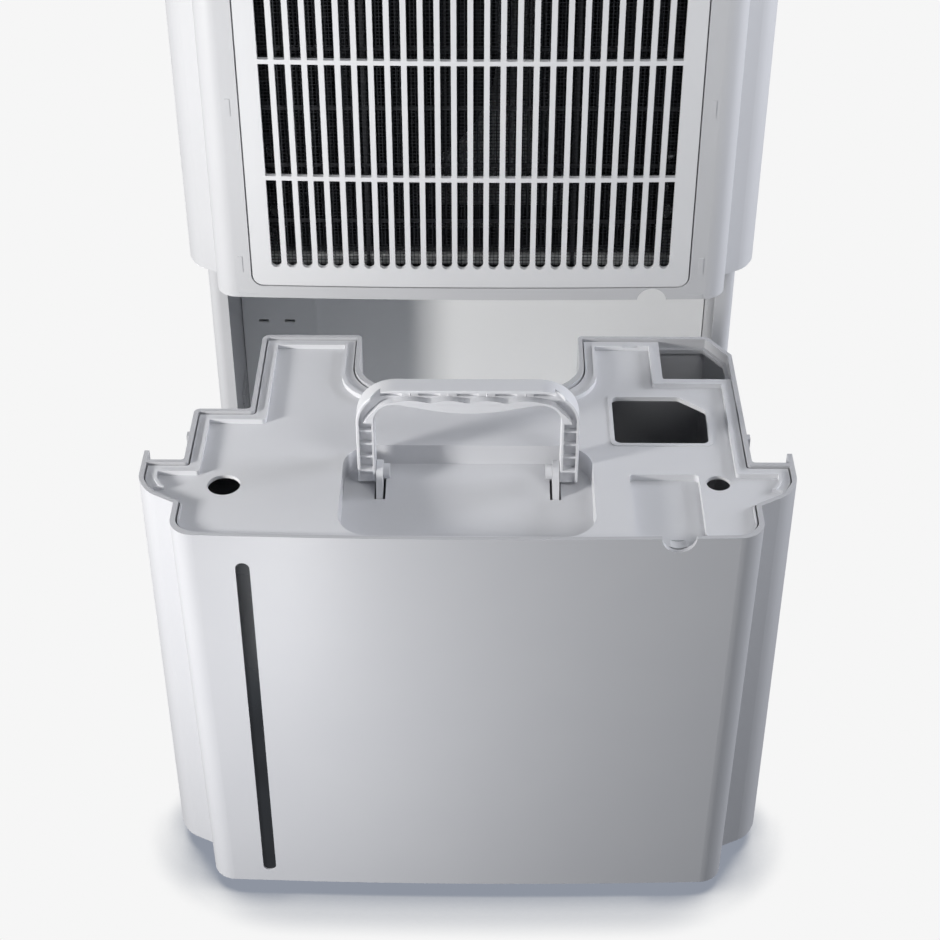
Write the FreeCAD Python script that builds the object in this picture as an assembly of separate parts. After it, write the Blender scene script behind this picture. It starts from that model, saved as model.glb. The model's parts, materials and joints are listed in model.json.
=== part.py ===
import FreeCAD, Part
import math
import os

os.makedirs("parts", exist_ok=True)

# A portable dehumidifier with its water bucket drawn fully forward and the
# bucket's carrying handle raised. Millimetres. +X is the machine's right as
# seen from the front, +Y points to its back, +Z is up. The floor is Z = 0.
# Every shape is drawn with Y measured from its own front face, and is moved
# into place when it is saved.

# ---- overall ---------------------------------------------------------------
HALF_W = 196.0          # half of the overall width
DEPTH = 281.0           # cabinet, front to back
HEIGHT = 610.0
TRAVEL = 252.0          # how far the bucket is drawn out
SPAN = DEPTH + TRAVEL
BUCKET_Y = -SPAN / 2    # bucket's front face, bucket drawn out
CABINET_Y = BUCKET_Y + TRAVEL

# ---- front plan shared by cabinet and bucket ---------------------------------
BULGE_W = 172.0         # half-width of the bulging centre
BULGE_R = 25.0
BOW = 2.33              # height of the bow's apex in front of the face
BOW_R = 4205.0
BULGE_FOOT_W = 168.5    # the bucket's bulge narrows to this at its foot
WING_Y = 33.0           # where the bulge meets the wings
WING_BACK = 75.0

# ---- levels --------------------------------------------------------------------
PAN_Z0, PAN_Z1 = 16.0, 36.0
SKIRT_Z = 14.0          # foot of the bucket's front
TUB_Z = 38.0
RIM_Z = 308.0
CAB_Z0 = 310.5          # lower edge of the upper cabinet
DECK_Z0, DECK_Z1 = 317.0, 320.0
COVER_Z = 588.0

# ---- walls -----------------------------------------------------------------------
WALL = 3.0
TUB_WALL = 2.8
LOWER_W = 189.0         # half-width of the lower body
LOWER_Y = 78.0
MOUTH_W = 175.6         # half-width of the bay's mouth
BAY_BACK = 214.0
FIT = 0.3               # gap between pieces that only lie against each other

# ---- lid, handle and window ---------------------------------------------------------
LEDGE_Z = 306.2
PANEL_Z = 304.0
LID_T = 2.5
POCKET = (-75.5, 75.5, 8.0, 96.0)
POCKET_Z = 280.8        # floor at the pocket's front
POCKET_BACK_Z = 290.0
WELL_Z = 299.0
SIDE_GAP = 0.9          # dark seam between the lid and the tub's rim
LEFT_HOLE = (-145.0, 55.5, 9.8)
RIGHT_HOLE = (149.6, 59.5, 7.2)
PIVOT_Y, PIVOT_Z = 81.0, 295.7
PIN_R = 3.0
HANDLE_W = 66.5
HANDLE_H = 63.7
HANDLE_D = 13.0
LEG_T = 10.9
GRIP_T = 10.4
GRIP_SAG = 8.2          # corner of the belly under the grip, before it is rounded
FLANGE = 1.7            # the handle's thin outer and inner flanges
RIB_PITCH = 22.7
LUG_X = (51.3, 55.3)
WINDOW_X, WINDOW_W = -130.0, 8.4
WINDOW_Z = (24.0, 288.0)
NOTCH_X, NOTCH_R = 122.0, 10.0
FLOAT_X = -100.0

# ---- intake panel ----------------------------------------------------------------------
PANEL_W = 145.75
PANEL_Z0, PANEL_Z1 = 320.5, 574.0
PANEL_T = 3.4
SEAM = 1.0
SLOTS = 26
SLOT_PITCH = 10.33
SLOT_W = 6.8
SLOT_Z0, SLOT_Z1 = 334.4, 561.0
RIB_Z = (401.3, 482.8)

# ---- refrigeration -----------------------------------------------------------------------
COMP_X, COMP_Y, COMP_R = 105.0, 217.0, 54.0
COMP_Z0, COMP_Z1 = 340.0, 520.0
FAN_X, FAN_Z = -75.0, 445.0
FAN_R = 78.0
SCROLL_R = 92.0
COIL_Z0, COIL_Z1 = 334.0, 556.0
FINS = 60
PIPE_Z = 552.0
PORT_X, PORT_Z = -120.0, 352.0

# ---- casters ---------------------------------------------------------------------------------
CASTERS = {"fl": (-140.0, 46.0), "fr": (140.0, 46.0), "rl": (-150.0, 244.0), "rr": (150.0, 244.0)}
WHEEL_R, WHEEL_T = 11.0, 9.0
TRAIL = 7.0
STEM_R = 3.0

# ---- controls ----------------------------------------------------------------------------------
BUTTON_X = (-92.0, -70.0, -48.0, 48.0, 70.0, 92.0)
BUTTON_Y = 54.0
BUTTON_R = 7.0
CONTROL = (-115.0, 115.0, 28.0, 80.0)
OUTLET = (-125.0, 125.0, 118.0, 210.0)


# ================= drawing helpers =================

def V(x, y, z):
    return FreeCAD.Vector(x, y, z)


def box(x0, x1, y0, y1, z0, z1):
    return Part.makeBox(x1 - x0, y1 - y0, z1 - z0, V(x0, y0, z0))


def rod(radius, start, end):
    start, end = V(*start), V(*end)
    return Part.makeCylinder(radius, (end - start).Length, start, end - start)


def union(shapes):
    shapes = list(shapes)
    whole = shapes[0].multiFuse(shapes[1:]) if len(shapes) > 1 else shapes[0]
    return whole.removeSplitter()


def mirrored(shape):
    return shape.mirror(V(0, 0, 0), V(1, 0, 0))


def both(shape):
    return [shape, mirrored(shape)]


def soften(shape, radius, pick):
    """Round the edges for which pick(edge) is true."""
    return shape.makeFillet(radius, [edge for edge in shape.Edges if pick(edge)])


def rounded_wire(corners, lift):
    """Closed outline from (u, v, radius) corners; lift puts (u, v) into space.

    A corner's arc may use up to half of its shorter side, and the long bow most of it.
    """
    arcs = []
    count = len(corners)
    for i, (u, v, radius) in enumerate(corners):
        before, after = corners[i - 1], corners[(i + 1) % count]
        a = (before[0] - u, before[1] - v)
        b = (after[0] - u, after[1] - v)
        la, lb = math.hypot(*a), math.hypot(*b)
        a, b = (a[0] / la, a[1] / la), (b[0] / lb, b[1] / lb)
        half = math.acos(max(-1.0, min(1.0, a[0] * b[0] + a[1] * b[1]))) / 2
        share = 0.82 if radius > BOW_R / 2 else 0.49
        radius = min(radius, share * min(la, lb) * math.tan(half))
        if radius < 0.05:
            arcs.append(((u, v), None, (u, v)))
            continue
        run = radius / math.tan(half)
        mid = (a[0] + b[0], a[1] + b[1])
        reach = radius / math.sin(half) - radius
        length = math.hypot(*mid)
        centre_side = (u + mid[0] / length * reach, v + mid[1] / length * reach)
        arcs.append(((u + a[0] * run, v + a[1] * run), centre_side, (u + b[0] * run, v + b[1] * run)))
    edges = []
    for i, (start, middle, end) in enumerate(arcs):
        if middle:
            edges.append(Part.Arc(V(*lift(*start)), V(*lift(*middle)), V(*lift(*end))).toShape())
        following = arcs[(i + 1) % count][0]
        if math.hypot(following[0] - end[0], following[1] - end[1]) > 1e-6:
            edges.append(Part.makeLine(V(*lift(*end)), V(*lift(*following))))
    return Part.Wire(edges)


def plate(corners, z0, z1):
    """Outline in the XY plane, raised from z0 to z1."""
    wire = rounded_wire(corners, lambda u, v: (u, v, z0))
    return Part.Face(wire).extrude(V(0, 0, z1 - z0))


def upright(corners, y0, y1):
    """Outline in the XZ plane, carried from y0 to y1."""
    wire = rounded_wire(corners, lambda u, v: (u, y0, v))
    return Part.Face(wire).extrude(V(0, y1 - y0, 0))


def sideways(corners, x0, x1):
    """Outline in the YZ plane, carried from x0 to x1."""
    wire = rounded_wire(corners, lambda u, v: (x0, u, v))
    return Part.Face(wire).extrude(V(x1 - x0, 0, 0))


def frame_of(u0, u1, v0, v1, radius):
    return [(u0, v0, radius), (u1, v0, radius), (u1, v1, radius), (u0, v1, radius)]


def inset(corners, gap):
    """The same counter-clockwise outline, moved inwards by gap; small inner corners stay small."""
    moved = []
    count = len(corners)
    for i, (u, v, radius) in enumerate(corners):
        before, after = corners[i - 1], corners[(i + 1) % count]
        d0, d1 = (u - before[0], v - before[1]), (after[0] - u, after[1] - v)
        l0, l1 = math.hypot(*d0), math.hypot(*d1)
        n0, n1 = (-d0[1] / l0, d0[0] / l0), (-d1[1] / l1, d1[0] / l1)
        scale = gap / (1 + n0[0] * n1[0] + n0[1] * n1[1])
        turn = d0[0] * d1[1] - d0[1] * d1[0]
        softer = radius - gap if turn > 0 else radius + (gap if radius > 10 else 0)
        moved.append((u + (n0[0] + n1[0]) * scale, v + (n0[1] + n1[1]) * scale, max(softer, 0.4)))
    return moved


def loft(low, z0, high, z1):
    wires = [rounded_wire(low, lambda u, v: (u, v, z0)), rounded_wire(high, lambda u, v: (u, v, z1))]
    return Part.makeLoft(wires, True, True)


def save(node, shape, home=CABINET_Y):
    placed = shape.copy()
    placed.translate(V(0, home, 0))
    solids = placed.Solids
    placed = solids[0] if len(solids) == 1 else Part.makeCompound(solids)
    placed.exportStep("parts/%s.step" % node)
    summary = (node, len(solids), placed.isValid(), placed.Volume / 1000)
    print("%-18s solids %2d valid %s volume %.1f cm3" % summary)


# ================= shared outlines =================

def front_half(bulge, corner=BULGE_R):
    """Right half of the front plan, from the bow's apex to the wing's side."""
    return [(bulge, 3.4, corner), (bulge, WING_Y, 1.0), (189.0, 43.0, 20.0), (HALF_W, 56.0, 20.0)]


def closed_plan(right, left):
    """Counter-clockwise outline from the right side's corners and the left side's."""
    return [(0, -BOW, BOW_R)] + right + [(-u, v, r) for u, v, r in reversed(left)]


def cabinet_plan():
    half = front_half(BULGE_W) + [(HALF_W, DEPTH, 22.0)]
    return closed_plan(half, half)


def lower_plan():
    return [(-LOWER_W, LOWER_Y, 8.0), (LOWER_W, LOWER_Y, 8.0),
            (LOWER_W, DEPTH, 18.0), (-LOWER_W, DEPTH, 18.0)]


def tub_plan(bulge):
    right = [(170.0, 191.0, 3.0), (156.0, 212.0, 3.0)]
    return bucket_plan(bulge, right)


def lid_plan(corner=BULGE_R):
    """The tub's plan without its right rear corner, where water drips in past the lid."""
    return bucket_plan(BULGE_W, [(171.0, 169.4, 2.0), (127.4, 169.4, 1.5), (127.4, 212.0, 2.0)], corner)


def bucket_plan(bulge, right_rear, corner=BULGE_R):
    shoulder = [(HALF_W, WING_BACK, 1.5), (171.0, WING_BACK, 2.0)]
    recess = [(71.0, 212.0, 3.0), (71.0, 150.0, 38.0)]
    left_rear = [(171.0, 128.0, 4.0), (136.0, 128.0, 3.0), (136.0, 212.0, 5.0)]
    return closed_plan(front_half(bulge, corner) + shoulder + right_rear + recess,
                       front_half(bulge, corner) + shoulder + left_rear + recess)


# ================= bucket =================

def bucket_tub():
    top, foot = tub_plan(BULGE_W), tub_plan(BULGE_FOOT_W)
    shell = loft(foot, SKIRT_Z, top, RIM_Z)
    inner_top, inner_foot = inset(top, TUB_WALL), inset(foot, TUB_WALL)
    shell = shell.cut(loft(inner_foot, TUB_Z + TUB_WALL, inner_top, RIM_Z + 1))
    shell = shell.cut(loft(inner_foot, SKIRT_Z - 1, inner_foot, TUB_Z))
    shell = shell.cut(box(-200, 200, WING_BACK - TUB_WALL, 230, 0, TUB_Z))
    shell = union([shell] + both(box(HALF_W - 3, HALF_W, WING_BACK - 2, 84, SKIRT_Z + 2, RIM_Z)))
    tabs = both(box(170.5, 173.4, 104, 109, 292, 304))
    shell = union([shell, lid_shelf()] + tabs)
    shell = shell.cut(window_slot(0.0, -6, 5.6))
    notch = rod(NOTCH_R, (NOTCH_X, -5, RIM_Z), (NOTCH_X, 6, RIM_Z))
    return shell.cut(notch)


def lid_shelf():
    """Ledge inside the tub's rim that the lid lies on."""
    outer = inset(tub_plan(BULGE_W), TUB_WALL - 0.2)
    inner = inset(tub_plan(BULGE_W), TUB_WALL + 2.4)
    z1 = PANEL_Z - LID_T - FIT
    ring = plate(outer, z1 - 3, z1).cut(plate(inner, z1 - 4, z1 + 1))
    return ring.cut(box(93, 143, 4.6, 12, z1 - 4, z1 + 1))


def window_slot(gap, y0, y1):
    """The level window's upright slot; gap shrinks it all round."""
    half = WINDOW_W / 2 - gap
    outline = frame_of(WINDOW_X - half, WINDOW_X + half, WINDOW_Z[0] + gap, WINDOW_Z[1] - gap, half - 0.05)
    return upright(outline, y0, y1)


def level_window():
    """Clear strip that fills the slot, a little behind the tub's skin."""
    skin = loft(inset(tub_plan(BULGE_FOOT_W), 1.0), SKIRT_Z, inset(tub_plan(BULGE_W), 1.0), RIM_Z)
    return window_slot(0.15, -6, 5.5).common(skin)


def bucket_lid():
    plan = inset(lid_plan(), TUB_WALL + SIDE_GAP)
    lid = plate(plan, PANEL_Z - LID_T, LEDGE_Z)
    ridge = plate(inset(plan, 5.0), LEDGE_Z - 1, LEDGE_Z + 1.1)
    lid = union([lid, ridge]).cut(panel_recess(plan))
    lid = lid.cut(box(99.5, 109.5, 190, 204, LEDGE_Z, LEDGE_Z + 3))
    x0, x1, y0, y1 = POCKET
    tray = plate(frame_of(x0 - 2, x1 + 2, y0 - 2, y1 + 2, 22), POCKET_Z - LID_T, PANEL_Z)
    tray = tray.common(pocket_slope(-LID_T))
    well = plate(frame_of(95.0, 140.5, 5.8, 70.0, 3), WELL_Z - 2, PANEL_Z)
    lip = plate(inlet_opening(2.5), PANEL_Z - 1, PANEL_Z + 0.6)
    lid = union([lid, tray, well, lip])
    lid = lid.cut(plate(frame_of(x0, x1, y0, y1, 20), POCKET_Z - 1, 320).common(pocket_slope(0)))
    lid = lid.cut(plate(frame_of(97.0, 138.5, -4.0, 68.0, 3), WELL_Z, 320))
    lid = lid.cut(rod(NOTCH_R, (NOTCH_X, -5, RIM_Z), (NOTCH_X, 12, RIM_Z)))
    lid = lid.cut(plate(inlet_opening(0.0), 280, 320))
    for x, y, radius in (LEFT_HOLE, RIGHT_HOLE):
        lid = lid.cut(rod(radius, (x, y, 280), (x, y, 320)))
    return union([lid.cut(union(lug_slots()))] + both(handle_lug()))


def panel_recess(plan):
    """The lid's sunken middle, which runs right up to the rim along the front."""
    middle = plate(inset(plan, 6.8), PANEL_Z, LEDGE_Z + 2)
    front = plate(inset(lid_plan(BULGE_R + 14), TUB_WALL + SIDE_GAP + 0.9), PANEL_Z, LEDGE_Z + 2)
    return union([middle, front.common(box(-186, 186, -10, 50, 290, 320))])


def inlet_opening(grow):
    g = grow
    return [(90 - g, 98.7 - g, 4), (147.5 + g, 98.7 - g, 4),
            (148.5 + g, 133.7 + g, 4), (132 + g, 147.7 + g, 4),
            (90 - g, 147.7 + g, 4)]


def pocket_slope(drop):
    """Everything above the pocket's floor, which falls towards the front."""
    spare = 10.0
    rise = (POCKET_BACK_Z - POCKET_Z) / (POCKET[3] - POCKET[2]) * spare
    y0, y1 = POCKET[2] - spare, POCKET[3] + spare
    return sideways([(y0, POCKET_Z - rise + drop, 0), (y1, POCKET_BACK_Z + rise + drop, 0),
                     (y1, 330, 0), (y0, 330, 0)],
                    -100, 100)


def handle_lug():
    """Upright ear for one of the handle's pins; its front edge slopes down into a slot in the floor."""
    x0, x1 = LUG_X
    z0 = POCKET_BACK_Z - 3.8
    lug = sideways([(PIVOT_Y - 16, z0, 0), (PIVOT_Y + 9, z0, 0), (PIVOT_Y + 7, PIVOT_Z + 6, 6.5),
                    (PIVOT_Y - 7, PIVOT_Z + 6, 6.5)], x0, x1)
    return lug.cut(rod(PIN_R + 0.02, (x0 - 1, PIVOT_Y, PIVOT_Z), (x1 + 1, PIVOT_Y, PIVOT_Z)))


def lug_slots():
    """Slots that the ears' moulding tools leave in the pocket's floor on both sides of each ear."""
    x0, x1 = LUG_X
    return both(plate(frame_of(x0 - 1.5, x1 + 1.1, PIVOT_Y - 16.5, PIVOT_Y + 3, 0.5), 270, POCKET_BACK_Z))


def handle_pins():
    pin = rod(PIN_R, (LUG_X[0] - 2, PIVOT_Y, PIVOT_Z), (HANDLE_W - 3.5, PIVOT_Y, PIVOT_Z))
    head = rod(PIN_R + 1.6, (LUG_X[0] - 4, PIVOT_Y, PIVOT_Z), (LUG_X[0] - 0.1, PIVOT_Y, PIVOT_Z))
    return Part.makeCompound(both(pin.fuse(head).removeSplitter()))


def bucket_handle():
    """Arch of two thin flanges on a web, with a belly under the grip and feet round about the pivots."""
    y0, y1 = PIVOT_Y - HANDLE_D / 2, PIVOT_Y + HANDLE_D / 2
    top, foot = PIVOT_Z + HANDLE_H, PIVOT_Z - HANDLE_D / 2
    inner_w = HANDLE_W - LEG_T
    outside = [(-HANDLE_W, foot, 0), (HANDLE_W, foot, 0), (HANDLE_W, top, 24), (-HANDLE_W, top, 24)]
    inside = [(-inner_w, foot - 5, 0), (inner_w, foot - 5, 0),
              (inner_w, top - GRIP_T, 12), (-inner_w, top - GRIP_T, 12)]
    arch = upright(outside, y0, y1).cut(upright(inside, y0 - 1, y1 + 1))
    arch = soften(arch, 0.6, outer_rim(y0, y1))
    under = top - GRIP_T
    belly = upright([(-46, under + 1, 0), (0, under - GRIP_SAG, 200), (46, under + 1, 0)], y0 + 0.4, y1)
    arch = union([arch, belly])
    for x in (-HANDLE_W, HANDLE_W - LEG_T):
        lower = box(x, x + LEG_T, y0, y1, foot, PIVOT_Z)
        arch = arch.cut(lower.cut(rod(HANDLE_D / 2, (x, PIVOT_Y, PIVOT_Z), (x + LEG_T, PIVOT_Y, PIVOT_Z))))
    band = upright(inset(outside, FLANGE), y0 - 1, y0 + 5)
    band = band.cut(upright(inset(inside, -FLANGE), y0 - 2, y0 + 6))
    arch = arch.cut(grip_channel(band, y0, top)).cut(union(leg_channels(band, y0)))
    for side in (-1, 1):
        hole = (inner_w - 1) * side, (HANDLE_W - 3.0) * side
        arch = arch.cut(rod(PIN_R + 0.06, (hole[0], PIVOT_Y, PIVOT_Z), (hole[1], PIVOT_Y, PIVOT_Z)))
    return arch


def outer_rim(y0, y1):
    """Edges of the arch that lie in its front or back face, above the pivots."""
    def pick(edge):
        box_ = edge.BoundBox
        flat = box_.YLength < 0.01 and min(abs(box_.YMin - y0), abs(box_.YMin - y1)) < 0.01
        return flat and box_.ZMin > PIVOT_Z + 1
    return pick


def grip_channel(band, y0, top):
    """Groove along the grip: short ribs hang in it, scallops edge it, and its floor dips for each finger."""
    z0 = PIVOT_Z + 40
    groove = band.common(box(-100, 100, y0 - 1, y0 + 5, z0, top))
    edge_z = top - GRIP_T + FLANGE
    for i in range(4):
        x = (i - 1.5) * RIB_PITCH
        rib = box(x - 0.5, x + 0.5, y0 + 0.3, y0 + 5, top - 4.6, top)
        scallop = rod(32, (x, y0 - 1, edge_z - 30.4), (x, y0 + 6, edge_z - 30.4))
        groove = groove.cut(rib).cut(scallop)
    dips = [rod(14, ((i - 2) * RIB_PITCH, y0 - 7.4, edge_z + 1.8),
                ((i - 2) * RIB_PITCH, y0 - 7.4, top - FLANGE))
            for i in range(5)]
    return union([groove] + dips)


def leg_channels(band, y0):
    """Groove in the front of each leg, with low cross ribs, and a shallow one over the pin."""
    legs = band.common(box(-100, 100, y0 - 1, y0 + 5, PIVOT_Z + 5.5, PIVOT_Z + 40))
    for i in range(3):
        z = PIVOT_Z + 13.5 + i * 9.5
        legs = legs.cut(box(-100, 100, y0 + 1.8, y0 + 6, z, z + 1.2))
    feet = band.common(box(-100, 100, y0 - 1, y0 + 2.8, PIVOT_Z - 4.8, PIVOT_Z + 4.3))
    return [legs, feet]


def float_bracket():
    x, half = FLOAT_X, 24.0
    z1 = PANEL_Z - LID_T
    ear = sideways([(134, 290, 2), (146, 290, 5), (146, z1, 0), (134, z1, 0)], x - half, x - half + 2)
    ears = [ear, ear.translated(V(2 * half - 2, 0, 0))]
    bar = box(x - half, x + half, 132, 148, z1 - 2, z1)
    return union(ears + [bar]).cut(rod(2.05, (x - 30, 140, 294), (x + 30, 140, 294)))


def float_body():
    """Hollow float on an arm that hangs from an axle under the lid."""
    x = FLOAT_X
    axle = rod(2.0, (x - 23.8, 140, 294), (x + 23.8, 140, 294))
    arm = box(x - 4, x + 4, 108, 141, 291.5, 294)
    body = plate(frame_of(x - 17, x + 17, 84, 112, 6), 258, 292)
    return union([axle, arm, body])


# ================= cabinet shells =================

def wall_ring(z0, z1):
    plan = cabinet_plan()
    return plate(plan, z0, z1).cut(plate(inset(plan, WALL), z0 - 1, z1 + 1))


def front_fascia():
    ring = wall_ring(CAB_Z0, COVER_Z - FIT)
    skin = ring.common(box(-BULGE_W - 0.5, BULGE_W + 0.5, -10, WING_Y - 0.5, 300, 600))
    opening = frame_of(-PANEL_W - SEAM, PANEL_W + SEAM, PANEL_Z0 - SEAM, PANEL_Z1 + SEAM, 8)
    skin = skin.cut(upright(opening, -10, 12))
    seat = upright(frame_of(-156, 156, 312, 581, 4), 6.3, 8.3)
    seat = seat.cut(upright(frame_of(-143.5, 143.5, PANEL_Z0 + 3, PANEL_Z1 - 3.5, 5), 0, 12))
    posts = [box(x, x + 3, 2.4, 6.4, z, z + 12) for x in (-155, 152) for z in (330, 445, 550)]
    rail = box(-156, 156, 2.4, 8.3, CAB_Z0 + 1, CAB_Z0 + 3.5)
    body = union([skin, seat, rail] + posts)
    notch = rod(NOTCH_R, (NOTCH_X, -5, CAB_Z0 - 1.5), (NOTCH_X, 9, CAB_Z0 - 1.5))
    return body.cut(notch)


def side_wrap():
    """Sides and back of the upper cabinet in one piece."""
    wrap = wall_ring(CAB_Z0, COVER_Z - FIT)
    wrap = wrap.cut(box(-BULGE_W - 0.9, BULGE_W + 0.9, -10, WING_Y, 300, 600))
    step = plate(cabinet_plan(), CAB_Z0, CAB_Z0 + 2.5).cut(plate(inset(lower_plan(), 2.5), 300, 320))
    step = step.cut(box(-200, 200, -10, LOWER_Y - 2, 300, 320))
    wrap = union([wrap, step])
    grips = both(sideways(frame_of(130, 230, 498, 536, 8), 190, 200))
    wrap = wrap.cut(union(grips))
    wrap = wrap.cut(rod(17.0, (PORT_X, 270, PORT_Z), (PORT_X, 290, PORT_Z)))
    return screw_bosses(wrap)


def screw_places():
    return [(x, z) for x in (-165.0, 165.0) for z in (335.0, 460.0, 572.0)]


def screw_bosses(shell):
    for x, z in screw_places():
        boss = rod(6.0, (x, DEPTH - 14, z), (x, DEPTH - 1, z))
        well = rod(4.2, (x, DEPTH - 5, z), (x, DEPTH + 1, z))
        pilot = rod(1.6, (x, DEPTH - 15, z), (x, DEPTH, z))
        shell = union([shell, boss]).cut(union([well, pilot]))
    return shell


def housing_screws():
    screws = []
    for x, z in screw_places():
        head = rod(3.8, (x, DEPTH - 4.9, z), (x, DEPTH - 2.6, z))
        shank = rod(1.5, (x, DEPTH - 13, z), (x, DEPTH - 4, z))
        cross = union([box(x - 2.2, x + 2.2, DEPTH - 4, DEPTH, z - 0.4, z + 0.4),
                       box(x - 0.4, x + 0.4, DEPTH - 4, DEPTH, z - 2.2, z + 2.2)])
        screws.append(head.fuse(shank).cut(cross))
    return Part.makeCompound(screws)


def grip_cup():
    """Moulded hand hold let into the right side; the hand pulls up on its roof."""
    outer = sideways(frame_of(131, 229, 499, 535, 7), HALF_W - 26, HALF_W - 0.4)
    return outer.cut(sideways(frame_of(133.5, 226.5, 501.5, 532.5, 5), HALF_W - 23.5, HALF_W + 1))


def top_cover():
    cover = plate(cabinet_plan(), COVER_Z, HEIGHT)
    cover = soften(cover, 10.0, lambda edge: edge.BoundBox.ZMin > HEIGHT - 0.01)
    cover = cover.cut(plate(inset(cabinet_plan(), WALL), COVER_Z - 1, HEIGHT - 11))
    cover = cover.cut(plate(inset(cabinet_plan(), 13), COVER_Z - 1, HEIGHT - WALL))
    x0, x1, y0, y1 = CONTROL
    cover = union([cover, plate(frame_of(x0 - 3, x1 + 3, y0 - 3, y1 + 3, 8), HEIGHT - 8, HEIGHT - 2)])
    cover = cover.cut(plate(frame_of(x0, x1, y0, y1, 6), HEIGHT - 5, HEIGHT + 1))
    for x in BUTTON_X:
        cover = cover.cut(rod(3.5, (x, BUTTON_Y, HEIGHT - 9), (x, BUTTON_Y, HEIGHT)))
    posts = [rod(2.5, (x, y, HEIGHT - 15.3), (x, y, HEIGHT - 7)) for x in (-100, 100) for y in (36, 72)]
    cover = union([cover] + posts)
    x0, x1, y0, y1 = OUTLET
    return cover.cut(plate(frame_of(x0, x1, y0, y1, 8), COVER_Z, HEIGHT + 1))


def outlet_grille():
    """Drop-in frame with slanted blades that throw the dry air up and forward."""
    x0, x1, y0, y1 = OUTLET
    z0 = HEIGHT - 12
    frame = plate(frame_of(x0 + FIT, x1 - FIT, y0 + FIT, y1 - FIT, 7), z0, HEIGHT - 0.6)
    frame = frame.cut(plate(frame_of(x0 + 5, x1 - 5, y0 + 5, y1 - 5, 4), z0 - 1, HEIGHT + 1))
    blades = []
    for i in range(8):
        y = y0 + 10 + i * (y1 - y0 - 20) / 7
        lean = [(y - 3.4, z0 + 1, 0.5), (y - 1.6, z0 + 1, 0.5),
                (y + 3.4, HEIGHT - 1.5, 0.5), (y + 1.6, HEIGHT - 1.5, 0.5)]
        blades.append(sideways(lean, x0 + 4, x1 - 4))
    spine = box(-1.2, 1.2, y0 + 4, y1 - 4, z0, z0 + 4)
    return union([frame, spine] + blades)


def control_panel():
    x0, x1, y0, y1 = CONTROL
    panel = plate(frame_of(x0 + FIT, x1 - FIT, y0 + FIT, y1 - FIT, 5.7), HEIGHT - 5 + 0.1, HEIGHT - 1.2)
    for x in BUTTON_X:
        panel = panel.cut(rod(BUTTON_R + 0.3, (x, BUTTON_Y, 600), (x, BUTTON_Y, 612)))
    return panel.cut(plate(frame_of(-28, 28, 40, 68, 3), 600, 612))


def display_lens():
    return plate(frame_of(-27.7, 27.7, 40.3, 67.7, 2.7), HEIGHT - 4.9, HEIGHT - 1.4)


def button(x):
    cap = rod(BUTTON_R, (x, BUTTON_Y, HEIGHT - 3.4), (x, BUTTON_Y, HEIGHT - 0.4))
    stem = rod(2.5, (x, BUTTON_Y, HEIGHT - 12.4), (x, BUTTON_Y, HEIGHT - 3.0))
    cap = soften(cap, 0.6, lambda edge: edge.BoundBox.ZMin > HEIGHT - 0.5)
    return cap.fuse(stem).removeSplitter()


def control_board():
    board = box(-104, 104, 32, 76, HEIGHT - 17, HEIGHT - 15.4)
    chips = [box(x - 3, x + 3, BUTTON_Y - 3, BUTTON_Y + 3, HEIGHT - 15.5, HEIGHT - 13.4) for x in BUTTON_X]
    return union([board] + chips)


# ================= lower body and bay =================

def lower_body():
    plan = lower_plan()
    shell = plate(plan, PAN_Z1, CAB_Z0 - FIT).cut(plate(inset(plan, 2.5), 0, 400))
    shell = shell.cut(box(-MOUTH_W, MOUTH_W, LOWER_Y - 1, LOWER_Y + 4, 0, 400))
    shell = shell.cut(rod(8.0, (-120, 270, 80), (-120, 290, 80)))
    for i in range(5):
        z = 72 + i * 8
        rib = sideways([(178, z, 0.5), (206, z + 6, 0.5), (206, z + 9, 0.5), (178, z + 3, 0.5)], -187, -184.6)
        shell = union([shell, rib])
    return shell


def base_pan():
    wide = plate(lower_plan(), PAN_Z0, PAN_Z1)
    tongue = plate(frame_of(-163, 163, 8, LOWER_Y + 10, 14), PAN_Z0, PAN_Z1)
    pan = union([wide, tongue])
    hollow = union([plate(inset(lower_plan(), 3), 0, PAN_Z1 - 3),
                    plate(frame_of(-160, 160, 11, LOWER_Y + 20, 11), 0, PAN_Z1 - 3)])
    pan = pan.cut(hollow)
    for x, y in CASTERS.values():
        pan = union([pan, rod(7, (x, y, 28), (x, y, PAN_Z1 - 1))])
        pan = pan.cut(rod(STEM_R + 0.06, (x, y, 20), (x, y, PAN_Z1 - 1.5)))
    ribs = [box(-161, 161, y, y + 2.4, 25, PAN_Z1 - 1) for y in (90, 200)]
    ribs += [box(x, x + 2.4, 12, DEPTH - 4, 25, PAN_Z1 - 1) for x in (-92, 90)]
    return union([pan] + ribs)


def bay_liner():
    """Flat back wall of the bucket bay, with a step and two small slots at the left."""
    z0, z1 = PAN_Z1 + FIT, DECK_Z0 - FIT
    wall = box(-185.8, 185.8, BAY_BACK, BAY_BACK + 2, z0, z1)
    step = box(-128, -126, BAY_BACK - 1.2, BAY_BACK + 1, z0, z1)
    wall = union([wall, step])
    for x in (-169, -148):
        wall = wall.cut(box(x - 4, x + 4, BAY_BACK - 1, BAY_BACK + 3, 154, 156.5))
    return wall


def mid_deck():
    """Floor of the machine space, which is also the bay's ceiling."""
    plan = inset(cabinet_plan(), WALL + FIT)
    deck = plate(plan, DECK_Z0, DECK_Z1).cut(box(-200, 200, -10, 9, 300, 330))
    return deck.cut(rod(9, (145, 186, 310), (145, 186, 330)))


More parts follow.
